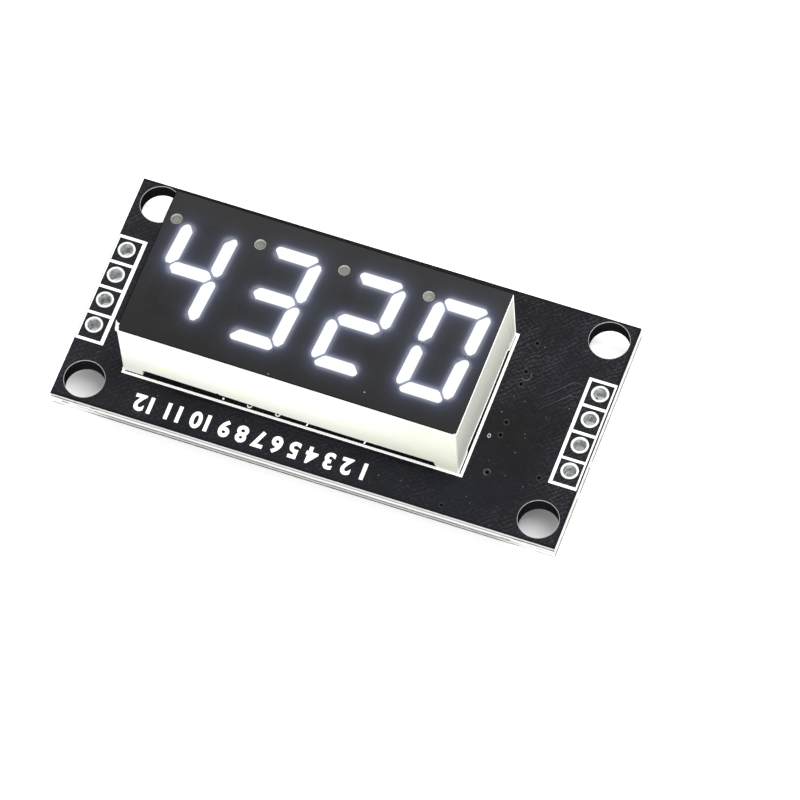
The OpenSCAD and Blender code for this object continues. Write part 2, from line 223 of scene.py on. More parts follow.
def mat_board():
    t = Tree("solder_mask_on_laminate")
    x, y, z = t.xyz()
    nx, ny, nz = t.normal_xyz()
    flat = t.ramp(t.math("ABSOLUTE", nz), 0.4, 0.6)
    # weave of the glass cloth, which telegraphs through the mask outside the copper areas; its ridges and grain are
    # given a lighter colour, a painted sheen, besides the bump
    wob = t.noise(0.9, 2.0)
    wx = t.math("ADD", x, t.math("MULTIPLY", wob, 0.7))
    wy = t.math("ADD", y, t.math("MULTIPLY", t.noise(0.7, 2.0, vector=t.vec("ADD", t.mm(), (31.0, 7.0, 3.0))), 0.7))
    sx = t.math("SINE", t.math("MULTIPLY", wx, 2 * math.pi / 0.66))
    sy = t.math("SINE", t.math("MULTIPLY", wy, 2 * math.pi / 0.52))
    lumps = t.math("MULTIPLY", sx, sy)
    twill = t.math("SINE", t.math("MULTIPLY", t.math("SUBTRACT", wx, wy), 2 * math.pi / 0.47))
    weave = t.math("ADD", t.math("MULTIPLY", lumps, 0.55), t.math("MULTIPLY", twill, 0.45))
    grain = t.noise(3.2, 4.0, 0.6)
    # where the cloth shows: not over the copper pour right of the display
    gx = t.math("DIVIDE", t.math("SUBTRACT", x, 15.6), 3.0)
    gy = t.math("DIVIDE", t.math("SUBTRACT", y, -4.4), 5.0)
    r2 = t.math("ADD", t.math("MULTIPLY", gx, gx), t.math("MULTIPLY", gy, gy))
    show = t.ramp(t.math("ADD", r2, t.math("MULTIPLY", t.math("SUBTRACT", wob, 0.5), 1.2)), 0.6, 1.6, 0.12, 1.0)
    patch = t.ramp(t.noise(0.28, 3.0, vector=t.vec("ADD", t.mm(), (9.0, 4.0, 0.0))), 0.36, 0.62, 0.3, 1.0)
    # calmer and bluer along the middle of the near edge
    near = t.math("MULTIPLY", t.ramp(y, -6.6, -7.6), t.math("MULTIPLY", t.ramp(x, -15.5, -12.5), t.ramp(x, 19.0, 13.0)))
    amount = t.math("MULTIPLY", t.math("MULTIPLY", show, patch), t.math("SUBTRACT", 1.0, t.math("MULTIPLY", near, 0.6)))
    w01 = t.math("MULTIPLY", t.ramp(weave, -0.2, 0.95), amount)
    g01 = t.math("MULTIPLY", t.ramp(grain, 0.5, 0.78), t.math("ADD", t.math("MULTIPLY", amount, 0.8), 0.2))
    mask = t.mix(t.ramp(t.noise(0.35, 2.0), 0.35, 0.65), (0.0030, 0.0031, 0.0036), (0.0034, 0.0035, 0.0075))
    mask = t.mix(t.ramp(x, -12.0, -17.0, 0.0, 0.22), mask, (0.027, 0.027, 0.032))
    mask = t.mix(t.math("MULTIPLY", near, 0.6), mask, (0.0028, 0.0038, 0.0095))
    # painted sheen: the ridges of the weave and the grain get a lighter, bluer colour
    mask = t.mix(t.math("MULTIPLY", w01, 0.85), mask, (0.027, 0.027, 0.040))
    mask = t.mix(t.math("MULTIPLY", g01, 0.7), mask, (0.046, 0.047, 0.056))
    # dust and pin-prick highlights in the mask
    dots = t.voronoi(0.62, vector=t.vec("MULTIPLY", t.mm(), (1.0, 1.0, 0.0)))
    mask = t.mix(t.ramp(dots, 0.03, 0.06, 0.5, 0.0), mask, (0.08, 0.08, 0.085))
    mask = t.mix(t.ramp(t.math("ABSOLUTE", t.math("SUBTRACT", y, BOARD_C[1])), BOARD_Y / 2 - 0.3, BOARD_Y / 2 - 0.1, 0.0, 0.9), mask, (0.0015, 0.0015, 0.0017))
    mask = t.mix(t.ramp(t.math("SUBTRACT", x, BOARD_C[0]), BOARD_X / 2 - 0.35, BOARD_X / 2 - 0.12, 0.0, 0.95), mask, (0.0012, 0.0012, 0.0014))
    # sawn edge: pale laminate with grey streaks of glass along it
    ax = t.math("ABSOLUTE", t.math("SUBTRACT", x, BOARD_C[0]))
    ay = t.math("ABSOLUTE", t.math("SUBTRACT", y, BOARD_C[1]))
    outer = t.math("MAXIMUM", t.math("GREATER_THAN", ax, BOARD_X / 2 - 0.03), t.math("GREATER_THAN", ay, BOARD_Y / 2 - 0.03))
    streaks = t.noise(1.0, 5.0, 0.6, vector=t.stretched(0.42, 0.42, 5.0))
    fine = t.noise(1.0, 4.0, 0.7, vector=t.stretched(1.6, 1.6, 12.0))
    wander = t.math("MULTIPLY", t.math("SUBTRACT", t.noise(0.35, 3.0), 0.5), 0.16)
    v = t.math("DIVIDE", t.math("ADD", z, t.math("MULTIPLY", wander, t.ramp(t.math("ABSOLUTE", t.math("SUBTRACT", z, 0.8)), 0.8, 0.6))), BOARD_T)
    # the darkest bands at the very bottom are partly the mask's lower edge and partly painted contact shadow
    layers = t.bands(v, [(0.0, 0.02), (0.075, 0.03), (0.135, 0.50), (0.19, 0.62), (0.27, 0.36), (0.33, 0.17), (0.39, 0.28),
                         (0.49, 1.0), (0.59, 1.0), (0.68, 0.48), (0.75, 0.32), (0.83, 0.74), (0.91, 0.95), (0.95, 0.5)])
    plain = t.mix(t.ramp(streaks, 0.4, 0.7), (0.72, 0.72, 0.70), (0.50, 0.51, 0.49))
    # darker along the bottom: partly the mask's lower edge, partly painted contact shadow
    plain = t.mix(t.ramp(z, 0.16, 0.06), plain, (0.30, 0.31, 0.30))
    plain = t.mix(t.ramp(z, 1.42, 1.5), plain, (0.46, 0.47, 0.46))
    # the glass layers show strongest along the middle of the two long edges
    middle = t.math("MULTIPLY", t.ramp(ax, 20.5, 16.5), t.math("GREATER_THAN", t.math("ABSOLUTE", ny), 0.5))
    upper = t.math("MULTIPLY", t.ramp(z, 0.55, 0.75), t.math("GREATER_THAN", t.math("ABSOLUTE", ny), 0.5))
    side = t.mix(t.math("MAXIMUM", middle, upper), plain, t.vec("SCALE", layers, scale=0.66))
    side = t.mix(t.math("MULTIPLY", t.ramp(streaks, 0.55, 0.72), 0.45), side, (0.30, 0.31, 0.30))
    side = t.mix(t.math("MULTIPLY", t.ramp(fine, 0.42, 0.28), 0.55), side, (0.88, 0.885, 0.86))
    side = t.mix(t.math("MULTIPLY", t.ramp(fine, 0.58, 0.74), 0.5), side, (0.24, 0.25, 0.24))
    # the two ends are brighter, with one broken line low down
    across = t.math("GREATER_THAN", t.math("ABSOLUTE", nx), 0.5)
    clean = t.mix(t.ramp(fine, 0.42, 0.66), (0.90, 0.905, 0.88), (0.70, 0.705, 0.68))
    # darker along the bottom: painted contact shadow
    clean = t.mix(t.ramp(z, 0.12, 0.03), clean, (0.34, 0.35, 0.34))
    side = t.mix(t.math("MULTIPLY", across, 0.9), side, clean)
    chips = t.ramp(t.noise(1.0, 3.0, 0.6, vector=t.stretched(0.9, 0.9, 0.0)), 0.45, 0.62, 0.0, 0.02)
    side = t.mix(t.math("GREATER_THAN", z, t.math("SUBTRACT", t.ramp(across, 0.0, 1.0, 1.54, 1.47), chips)), side, (0.012, 0.012, 0.013))
    along = t.math("ADD", x, t.math("MULTIPLY", y, 1.0))
    ends = t.math("MAXIMUM", t.ramp(ax, 16.5, 19.0), t.math("GREATER_THAN", t.math("ABSOLUTE", nx), 0.5))
    for k, (zc, amp, width, lo, dark, end_zc, end_amp, end_dark) in enumerate((
            (1.16, 0.5, 0.13, 0.40, 1.0, 0.17, 0.3, 0.92), (0.66, 0.7, 0.17, 0.47, 0.85, 0.62, 0.6, 0.22), (0.16, 0.2, 0.10, 0.42, 0.6, 1.2, 0.4, 0.12))):
        zc = t.ramp(across, 0.0, 1.0, zc, end_zc)
        amp = t.ramp(across, 0.0, 1.0, amp, end_amp)
        dark = t.ramp(across, 0.0, 1.0, dark, end_dark)
        pos = t.new("ShaderNodeCombineXYZ")
        t.put(along, pos.inputs[0])
        t.put(7.3 * k + 1.7, pos.inputs[1])
        run = pos.outputs[0]
        sway = t.math("MULTIPLY", t.math("SUBTRACT", t.noise(0.55, 4.0, 0.65, vector=run), 0.5), amp)
        off = t.math("ABSOLUTE", t.math("SUBTRACT", t.math("SUBTRACT", z, zc), sway))
        gaps = t.math("ADD", t.noise(0.8, 3.0, 0.6, vector=t.vec("ADD", run, (0.0, 3.1, 5.0))), t.math("MULTIPLY", across, 0.07))
        gaps = t.ramp(gaps, lo, lo + 0.12)
        off = t.math("MULTIPLY", off, t.math("SUBTRACT", 1.0, t.math("MULTIPLY", across, 0.55)))
        line = t.math("MULTIPLY", t.ramp(off, width, width * 0.3), t.math("MULTIPLY", gaps, t.math("MULTIPLY", ends, dark)))
        side = t.mix(line, side, (0.05, 0.052, 0.05))
    # painted shade: the walls of the holes through the board are painted near black, as the shade inside them
    bore_painted_shade = t.mix(t.noise(2.5, 3.0), (0.006, 0.006, 0.0068), (0.015, 0.015, 0.0165))
    wall = t.mix(outer, bore_painted_shade, side)
    base = t.mix(flat, wall, mask)
    rough = t.math("ADD", t.math("MULTIPLY", flat, -0.32), 0.6)
    rough = t.math("ADD", rough, t.math("MULTIPLY", t.noise(0.8, 3.0), 0.12))
    t.set(base=base, rough=rough, spec=t.math("MULTIPLY", flat, 0.17))
    h = t.math("ADD", t.math("MULTIPLY", t.math("MULTIPLY", weave, amount), 0.5), t.math("MULTIPLY", grain, t.math("ADD", t.math("MULTIPLY", amount, 0.7), 0.15)))
    h = t.math("MULTIPLY", h, flat)
    t.bump(t.math("ADD", h, t.math("MULTIPLY", streaks, 0.5)), 0.55, 0.00002)
    return t.mat


def mat_mask_plain(name, light=1.0):
    t = Tree(name)
    base = t.mix(t.noise(1.4, 3.0), (0.010 * light, 0.0105 * light, 0.013 * light), (0.018 * light, 0.0185 * light, 0.023 * light))
    t.set(base=base, rough=0.36, spec=0.35)
    t.bump(t.noise(4.0, 3.0), 0.25, 0.00001)
    return t.mat


def mat_silk(name="print_white"):
    t = Tree(name)
    n = t.noise(5.0, 4.0, 0.65)
    base = t.mix(t.ramp(n, 0.35, 0.7), (0.90, 0.90, 0.885), (0.80, 0.80, 0.785))
    # it also glows a little: painted light, so that it stays white where it lies in shade
    t.set(base=base, rough=0.62, spec=0.3, emit=base, power=0.45)
    t.bump(n, 0.35, 0.000008)
    return t.mat


def mat_tin(name="hot_tinned"):
    t = Tree(name)
    n = t.noise(2.2, 4.0, 0.6)
    base = t.mix(t.ramp(n, 0.35, 0.7), (0.93, 0.93, 0.915), (0.80, 0.805, 0.80))
    # the barrels are duller inside than the rings, and painted darker there as shade in the holes
    nx, ny, nz = t.normal_xyz()
    inside = t.ramp(t.math("ABSOLUTE", nz), 0.7, 0.4)
    base = t.mix(inside, base, t.mix(t.ramp(t.noise(2.6, 3.0, 0.65), 0.42, 0.6), (0.72, 0.755, 0.76), (0.27, 0.28, 0.28)))
    t.set(base=base, metal=t.math("MULTIPLY", t.math("SUBTRACT", 1.0, inside), 0.6), rough=t.ramp(n, 0.3, 0.75, 0.35, 0.5))
    t.bump(t.noise(1.6, 2.0), 0.25, 0.00004)
    return t.mat


def mat_pin():
    t = Tree("tin_plate")
    n = t.noise(1.0, 4.0, 0.6, vector=t.stretched(2.0, 2.0, 7.0))
    base = t.mix(t.ramp(n, 0.3, 0.7), (0.78, 0.78, 0.765), (0.60, 0.60, 0.595))
    t.set(base=base, metal=1.0, rough=t.ramp(n, 0.3, 0.7, 0.24, 0.42))
    t.bump(n, 0.3, 0.00001)
    return t.mat


def mat_solder():
    t = Tree("solder_metal")
    n = t.noise(1.7, 3.0, 0.55)
    base = t.mix(t.ramp(n, 0.3, 0.7), (0.72, 0.73, 0.745), (0.55, 0.56, 0.575))
    t.set(base=base, metal=1.0, rough=t.ramp(n, 0.3, 0.75, 0.16, 0.34))
    t.bump(t.noise(0.9, 2.0), 0.3, 0.00004)
    return t.mat


def mat_white():
    t = Tree("white_moulding")
    x, y, z = t.xyz()
    n = t.noise(0.5, 3.0)
    fine = t.noise(9.0, 3.0, 0.6)
    nx, ny, nz = t.normal_xyz()
    # darker and yellower towards the bottom of the walls: the darkening is painted shade beside the black board
    base = t.mix(t.ramp(z, 2.0, 7.6), (0.76, 0.775, 0.70), (0.815, 0.82, 0.795))
    # the walls turn darker and creamier to the right, and creamier in small clouds low on the walls
    base = t.mix(t.ramp(x, -2.0, 12.5, 0.0, 0.8), base, (0.645, 0.66, 0.545))
    base = t.mix(t.ramp(n, 0.42, 0.72, 0.0, 0.3), base, (0.78, 0.79, 0.70))
    low = t.ramp(z, 6.0, 3.4)
    for cx, cz, rr, k in ((-13.8, 3.95, 1.1, 0.8), (-7.0, 3.8, 0.8, 0.7), (-11.5, 4.2, 0.7, 0.4), (2.6, 4.1, 0.9, 0.4)):
        off = t.vec("MULTIPLY", t.vec("SUBTRACT", t.mm(), (cx, 0.0, cz)), (1.0, 0.0, 1.3))
        cloud = t.ramp(t.math("ADD", t.vec("LENGTH", off), t.math("MULTIPLY", t.math("SUBTRACT", fine, 0.5), 1.2)), rr, rr * 0.25)
        base = t.mix(t.math("MULTIPLY", cloud, k * 0.7), base, (0.80, 0.81, 0.56))
    # dark specks moulded into the near wall
    for cx, cz, w, h in ((-13.50, 7.25, 0.16, 0.05), (4.01, 5.05, 0.06, 0.06), (8.5, 7.2, 0.07, 0.06), (0.89, 7.6, 0.05, 0.04), (11.3, 7.3, 0.05, 0.04)):
        off = t.vec("MULTIPLY", t.vec("SUBTRACT", t.mm(), (cx, 0.0, cz)), (1.0 / w, 0.0, 1.0 / h))
        base = t.mix(t.math("MULTIPLY", t.ramp(t.vec("LENGTH", off), 1.25, 0.6), t.ramp(y, -6.8, -7.0, 0.0, 0.75)), base, (0.22, 0.21, 0.19))
    # the end wall: painted shade makes it greyer, and darker towards the near side, with painted highlights as clean
    # white rims along its upper and lower edges and at its far corner
    end = t.ramp(nx, 0.5, 0.8)
    rims = t.math("MAXIMUM", t.ramp(z, 8.38, 8.5), t.math("MAXIMUM", t.ramp(z, 2.62, 2.5), t.ramp(y, 6.55, 6.7)))
    base = t.mix(t.math("MULTIPLY", end, t.math("SUBTRACT", 1.0, rims)), base,
                 t.mix(t.ramp(y, -5.0, 5.5), (0.655, 0.665, 0.605), (0.78, 0.79, 0.695)))
    base = t.mix(t.math("MULTIPLY", end, rims), base, (0.90, 0.905, 0.89))
    t.set(base=base, rough=t.ramp(fine, 0.3, 0.7, 0.40, 0.52), spec=0.4)
    t.bump(t.math("ADD", fine, t.math("MULTIPLY", n, 1.5)), 0.18, 0.000015)
    return t.mat


def mat_film(name="black_face_film", shade=1.0, shine=0.22):
    t = Tree(name)
    flat = t.vec("SUBTRACT", t.vec("MULTIPLY", t.mm(), (1.0, 1.0, 0.0)), (DISP_CX, DISP_CY, 0.0))
    c, s = math.cos(DISP_TURN), math.sin(DISP_TURN)
    both = t.new("ShaderNodeCombineXYZ")
    t.put(t.vec("DOT_PRODUCT", flat, (c, s, 0.0)), both.inputs[0])
    t.put(t.vec("DOT_PRODUCT", flat, (-s, c, 0.0)), both.inputs[1])
    p = both.outputs[0]
    # painted glow: the surface round the lit segments shines with their light, in a bright edge and a long bluish tail
    near, tail = None, None
    for i, digit in enumerate(SHOWN):
        for j, letter in enumerate("abcdefg"):
            if letter not in LIT[digit]:
                continue
            (ax, ay), (bx, by) = LINES[j]
            a = (DIGIT_X[i] + ax, DIGIT_Y + ay, 0.0)
            d = (bx - ax, by - ay, 0.0)
            rel = t.vec("SUBTRACT", p, a)
            h = t.math("DIVIDE", t.vec("DOT_PRODUCT", rel, d), d[0] ** 2 + d[1] ** 2, clamp=True)
            dist = t.math("MAXIMUM", t.math("SUBTRACT", t.vec("DISTANCE", rel, t.vec("SCALE", d, scale=h)), 0.56), 0.0)
            near = dist if near is None else t.math("MINIMUM", near, dist)
            f = t.math("POWER", math.e, t.math("MULTIPLY", dist, -1 / GLOW_REACH))
            tail = f if tail is None else t.math("ADD", tail, f)
    q = t.math("DIVIDE", near, 0.25)
    edge = t.math("MULTIPLY", t.math("POWER", math.e, t.math("MULTIPLY", t.math("MULTIPLY", q, q), -1.0)), GLOW_EDGE)
    tail = t.math("MULTIPLY", tail, GLOW_TAIL)
    glow = t.new("ShaderNodeCombineXYZ")
    for k, tint in enumerate((0.50, 0.60, 1.08)):
        t.put(t.math("ADD", t.math("MULTIPLY", edge, (0.94, 0.97, 1.04)[k]), t.math("MULTIPLY", tail, tint)), glow.inputs[k])
    n = t.noise(0.25, 3.0)
    fine = t.noise(7.0, 4.0, 0.7)
    x, y, z = t.xyz()
    base = t.mix(t.ramp(n, 0.35, 0.7), FILM_A, FILM_B)
    # lighter towards the far side: a painted reflection
    base = t.vec("SCALE", base, scale=t.ramp(y, -7.0, 7.0, 0.75, 1.45, smooth=False))
    dust = t.voronoi(0.33, vector=t.vec("ADD", p, (0.9, 2.2, 0.0)))
    base = t.mix(t.ramp(dust, 0.015, 0.03, 0.5, 0.0), base, (0.3, 0.3, 0.29))
    nx, ny, nz = t.normal_xyz()
    up = t.ramp(nz, 0.5, 0.9)
    cut = t.new("ShaderNodeSeparateXYZ")
    t.put(p, cut.inputs[0])
    border = t.math("MAXIMUM", t.ramp(cut.outputs[1], DISP_Y / 2 - 0.08, DISP_Y / 2 - 0.055), t.ramp(cut.outputs[0], 0.08 - DISP_X / 2, 0.055 - DISP_X / 2))
    lit_up = t.math("MULTIPLY", up, t.math("SUBTRACT", 1.0, t.math("MULTIPLY", border, 0.92)))
    base = t.mix(lit_up, (0.002, 0.002, 0.0025), base)
    base = t.vec("SCALE", base, scale=shade)
    t.set(base=base, rough=t.ramp(fine, 0.3, 0.7, 0.30, 0.38), spec=t.math("MULTIPLY", lit_up, shine), emit=glow.outputs[0], power=up)
    t.bump(fine, 0.2, 0.000008)
    return t.mat


def mat_lit():
    t = Tree("lit_resin")
    n = t.noise(0.9, 2.0)
    glow = t.mix(n, (0.925, 0.95, 0.965), (0.94, 0.96, 0.97))
    t.set(base=t.mix(n, (0.02, 0.02, 0.021), (0.03, 0.03, 0.031)), rough=0.4, spec=0.3, emit=glow, power=t.ramp(n, 0.2, 0.8, 0.99, 1.01))
    return t.mat


def mat_point():
    t = Tree("point_resin")
    n = t.noise(2.6, 4.0, 0.65)
    base = t.mix(t.ramp(n, 0.3, 0.7), (0.155, 0.162, 0.136), (0.215, 0.222, 0.19))
    x, y, z = t.xyz()
    base = t.vec("SCALE", base, scale=t.ramp(x, 3.0, 6.0, 1.0, 1.3))
    t.set(base=base, rough=0.4, spec=0.4, coat=0.2, coat_rough=0.3)
    t.bump(n, 0.3, 0.00001)
    return t.mat


def mat_speckled(name, a, b, scale=3.0, rough=(0.5, 0.65), spec=0.4, bump=0.3, metal=0.0):
    t = Tree(name)
    n = t.noise(scale, 4.0, 0.6)
    t.set(base=t.mix(t.ramp(n, 0.3, 0.7), a, b), rough=t.ramp(n, 0.3, 0.7, *rough), spec=spec, metal=metal)
    t.bump(n, bump, 0.000015)
    return t.mat


BOARD = mat_board()
SILK = mat_silk()
TIN = mat_tin()
PIN = mat_pin()
SOLDER = mat_solder()
WHITE = mat_white()
FILM = mat_film()
LITM = mat_lit()
UNLIT = mat_film("unlit_resin", 0.92, 0.203)
POINTM = mat_point()
VIA = mat_mask_plain("mask_over_via", 0.6)
TRACE = mat_mask_plain("mask_over_copper", 1.5)
LAMINATE = mat_speckled("carrier_laminate", (0.52, 0.56, 0.40), (0.62, 0.66, 0.48), 2.0)
DIE = mat_speckled("led_coating", (0.75, 0.66, 0.22), (0.85, 0.78, 0.34), 4.0, rough=(0.25, 0.4))
EPOXY = mat_speckled("moulded_epoxy", (0.014, 0.014, 0.015), (0.028, 0.028, 0.030), 9.0, rough=(0.55, 0.7), spec=0.35, bump=0.5)
CERAMIC = mat_speckled("capacitor_ceramic", (0.30, 0.205, 0.125), (0.40, 0.285, 0.18), 6.0, bump=0.35)
ALUMINA = mat_speckled("resistor_ceramic", (0.78, 0.78, 0.75), (0.88, 0.88, 0.86), 6.0)
COAT = mat_speckled("resistor_glaze", (0.012, 0.012, 0.013), (0.02, 0.02, 0.022), 5.0, rough=(0.25, 0.35), spec=0.5)
SPECK = mat_speckled("dust_specks", (0.09, 0.09, 0.088), (0.16, 0.16, 0.155), 6.0)
DULL = mat_speckled("dull_copper_rim", (0.04, 0.04, 0.04), (0.17, 0.17, 0.165), 2.5)
LINE = mat_mask_plain("mask_over_pour_edge", 3.6)
# glowing white for the rims of the display's end walls: painted highlights
RIM_HIGHLIGHT = mat_silk("rim_painted_highlight")
RIM = mat_speckled("bare_laminate_rim", (0.40, 0.40, 0.385), (0.56, 0.56, 0.54), 3.0)
POINT_RIM = mat_speckled("point_rim", (0.40, 0.41, 0.38), (0.52, 0.53, 0.49), 4.0)

for node, mat in {
    "printed_circuit_board": BOARD, "header_pads_left": TIN, "header_pads_right": TIN, "via_barrels": VIA,
    "display_housing": WHITE, "face_film": FILM, "decimal_points": POINTM, "led_carrier_board": LAMINATE,
    "led_chips": DIE, "display_pins_far": PIN, "display_pins_near": PIN, "display_hole_plating": TIN,
    "display_solder_joints": SOLDER, "driver_chip_body": EPOXY, "driver_chip_leads": PIN,
    "driver_chip_solder": SOLDER, "capacitor_bodies": CERAMIC, "capacitor_ends": PIN,
    "resistor_bodies": ALUMINA, "resistor_coats": COAT, "resistor_ends": PIN, "passive_solder": SOLDER,
    "rear_pads": TIN,
}.items():
    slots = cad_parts[node].data.materials
    slots.clear()
    slots.append(mat)


# ------------------------------------------------------------------ mesh tools
def piece(name, bm, mat, smooth=False, replaces=()):
    bmesh.ops.recalc_face_normals(bm, faces=bm.faces)
    me = bpy.data.meshes.new(name)
    bm.to_mesh(me)
    bm.free()
    me.materials.append(mat)
    for p in me.polygons:
        p.use_smooth = smooth
    ob = bpy.data.objects.new(name, me)
    scene.collection.objects.link(ob)
    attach(ob, "root")
    if replaces:
        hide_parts(*replaces)
    return ob


def prism(bm, pts, z0, z1):
    """Upright prism over an outline given in mm, anticlockwise or clockwise."""
    lo = [bm.verts.new((x * MM, y * MM, z0 * MM)) for x, y in pts]
    hi = [bm.verts.new((x * MM, y * MM, z1 * MM)) for x, y in pts]
    bm.faces.new(lo[::-1])
    bm.faces.new(hi)
    n = len(pts)
    for i in range(n):
        bm.faces.new((lo[i], lo[(i + 1) % n], hi[(i + 1) % n], hi[i]))


def rect(x0, y0, x1, y1):
    return [(x0, y0), (x1, y0), (x1, y1), (x0, y1)]


def rounded_outline(pts, r, steps=4):
    """The same outline with each corner turned into a small arc."""
    out, n = [], len(pts)
    for i in range(n):
        p, a, b = Vector(pts[i]), Vector(pts[i - 1]), Vector(pts[(i + 1) % n])
        u, v = (a - p), (b - p)
        k = min(r, 0.45 * u.length, 0.45 * v.length)
        s, e = p + u.normalized() * k, p + v.normalized() * k
        for j in range(steps + 1):
            f = j / steps
            q = s * (1 - f) ** 2 + p * 2 * f * (1 - f) + e * f ** 2
            out.append((q.x, q.y))
    return out


def ribbon(bm, path, width, z0, z1, round_ends=True):
    """A flat strip of constant width along a path in mm, with round ends."""
    path = [Vector(p) for p in path]
    n = len(path)
    left, right = [], []
    for i in range(n):
        d0 = (path[i] - path[i - 1]).normalized() if i else (path[1] - path[0]).normalized()
        d1 = (path[i + 1] - path[i]).normalized() if i < n - 1 else d0
        m = (d0 + d1).normalized()
        nrm = Vector((-m.y, m.x))
        k = (width / 2) / max(nrm.dot(Vector((-d0.y, d0.x))), 0.3)
        left.append(path[i] + nrm * k)
        right.append(path[i] - nrm * k)
    outline = [tuple(p) for p in right]
    if round_ends:
        d = (path[-1] - path[-2]).normalized()
        a0 = math.atan2(-d.x, d.y)
        for j in range(1, 8):
            a = a0 + math.pi * (1 + j / 8)
            outline.append((path[-1].x + math.cos(a) * width / 2, path[-1].y + math.sin(a) * width / 2))
    outline += [tuple(p) for p in reversed(left)]
    if round_ends:
        d = (path[0] - path[1]).normalized()
        a0 = math.atan2(-d.x, d.y)
        for j in range(1, 8):
            a = a0 + math.pi * (1 + j / 8)
            outline.append((path[0].x + math.cos(a) * width / 2, path[0].y + math.sin(a) * width / 2))
    prism(bm, outline, z0, z1)


def ring(bm, cx, cy, profile, n=64, a0=0.0, a1=2 * math.pi):
    """A turned ring, or part of one: profile is a closed list of (radius, z) in mm."""
    closed = abs(a1 - a0 - 2 * math.pi) < 1e-6
    loops = []
    for i in range(n if closed else n + 1):
        a = a0 + (a1 - a0) * i / n
        loops.append([bm.verts.new(((cx + r * math.cos(a)) * MM, (cy + r * math.sin(a)) * MM, z * MM)) for r, z in profile])
    m = len(profile)
    for i in range(len(loops) if closed else len(loops) - 1):
        p, q = loops[i], loops[(i + 1) % len(loops)]
        for j in range(m):
            bm.faces.new((p[j], q[j], q[(j + 1) % m], p[(j + 1) % m]))
    if not closed:
        bm.faces.new(loops[0])
        bm.faces.new(loops[-1][::-1])


# ------------------------------------------------------------------ digits
for i, digit in enumerate(SHOWN):
    for lit in (True, False):
        bm = bmesh.new()
        for j, letter in enumerate("abcdefg"):
            if (letter in LIT[digit]) != lit:
                continue
            pts = [on_display(DIGIT_X[i] + x, DIGIT_Y + y) for x, y in SEGMENTS[j]]
            prism(bm, rounded_outline(pts, 0.2), CARRIER_Z + 0.2, FACE_Z)
        piece(f"digit_{i + 1}_{'lit' if lit else 'unlit'}_segments", bm, LITM if lit else UNLIT,
              replaces=(f"digit_{i + 1}_segments",))

# ------------------------------------------------------------------ print on the board
T0, T1 = BOARD_T - 0.002, BOARD_T + 0.022
bm = bmesh.new()
# outline around the display, and the boxes around the header holes
x0, x1, y0, y1, w = -17.6, 12.985, -7.3, 7.0, 0.225
for r in (rect(x0, y0, x1, y0 + w), rect(x0, y1 - w, x1, y1), rect(x0, y0 + w, x0 + w, y1 - w), rect(x1 - w, y0 + w, x1, y1 - w)):
    prism(bm, r, T0, T1)
piece("print_display_outline", bm, SILK)
for name, xs, ys in (
    ("left", (-22.53, -22.41, -20.34, -20.01), ((4.82, 5.08), (2.29, 2.55), (-0.22, 0.03), (-2.85, -2.6), (-5.43, -5.18))),
    ("right", (19.93, 20.21, 22.27, 22.415), ((4.8, 5.05), (2.3, 2.56), (-0.3, -0.04), (-2.88, -2.65), (-5.41, -5.15))),
):
    bm = bmesh.new()
    prism(bm, rect(xs[0], ys[-1][0], xs[1], ys[0][1]), T0, T1)
    prism(bm, rect(xs[2], ys[-1][0], xs[3], ys[0][1]), T0, T1)
    for ya, yb in ys:
        prism(bm, rect(xs[1], ya, xs[2], yb), T0, T1)
    piece("print_header_box_" + name, bm, SILK)

# plain numbers along the near edge, printed to be read from the far side
cu = bpy.data.curves.new("numbers", "FONT")
cu.body = "1 2 3 4 5 6 7 8 9 10 11 12"
cu.size = 1.0
cu.align_x = "CENTER"
cu.align_y = "CENTER"
cu.offset = 0.035
cu.extrude = 0.01
cu.resolution_u = 6
tmp = bpy.data.objects.new("numbers_tmp", cu)
scene.collection.objects.link(tmp)
bpy.context.view_layer.update()
me = bpy.data.meshes.new_from_object(tmp.evaluated_get(bpy.context.evaluated_depsgraph_get()))
bpy.data.objects.remove(tmp)
co = np.array([v.co for v in me.vertices])
lo, hi = co.min(0), co.max(0)
size = hi - lo
k = Vector((20.8 / size[0], 1.66 / size[1], 0.022 / size[2]))
mid = (lo + hi) / 2
for v in me.vertices:
    c = v.co - Vector(mid)
    v.co = Vector((-c.x * k.x - 5.2, -c.y * k.y - 9.47, c.z * k.z + BOARD_T + 0.009)) * MM
bm = bmesh.new()
bm.from_mesh(me)
bmesh.ops.remove_doubles(bm, verts=bm.verts, dist=1e-7)
piece("print_numbers", bm, SILK)

# small white marks at the pins, seen in the gap under the display
bm = bmesh.new()
for x in (-6.2, -3.66):
    ring(bm, x, -6.73, [(0.14, T0), (0.24, T0), (0.24, T1), (0.14, T1)], 20, math.pi, 2 * math.pi)
ribbon(bm, [(-8.5, -6.92), (-8.56, -6.78)], 0.15, T0, T1)
ribbon(bm, [(-1.01, -7.0), (-0.96, -6.74)], 0.11, T0, T1)
ribbon(bm, [(4.13, -7.0), (4.21, -6.74)], 0.11, T0, T1)
piece("white_pin_marks", bm, SILK)

# ------------------------------------------------------------------ board details
# lifted rims of the mask around the mounting holes
bm = bmesh.new()
for sx in (-1, 1):
    for sy in (-1, 1):
        ring(bm, sx * MOUNT[0], sy * MOUNT[1],
             [(1.75, 1.53), (1.738, 1.56), (1.752, 1.614), (1.766, 1.612), (1.784, 1.599), (1.755, 1.595)], 96)
piece("mounting_hole_rims", bm, RIM, smooth=True)

# copper under the mask on the bare right-hand part: the edges of the pour show as faint lines
bm = bmesh.new()
C0, C1 = BOARD_T - 0.002, BOARD_T + 0.012
ribbon(bm, [(16.1, 1.25), (18.85, 4.15), (19.9, 4.15)], 0.07, C0, C1)
ribbon(bm, [(16.5, 0.35), (18.9, 2.87), (19.9, 2.87)], 0.07, C0, C1)
piece("mask_lines_top", bm, LINE)
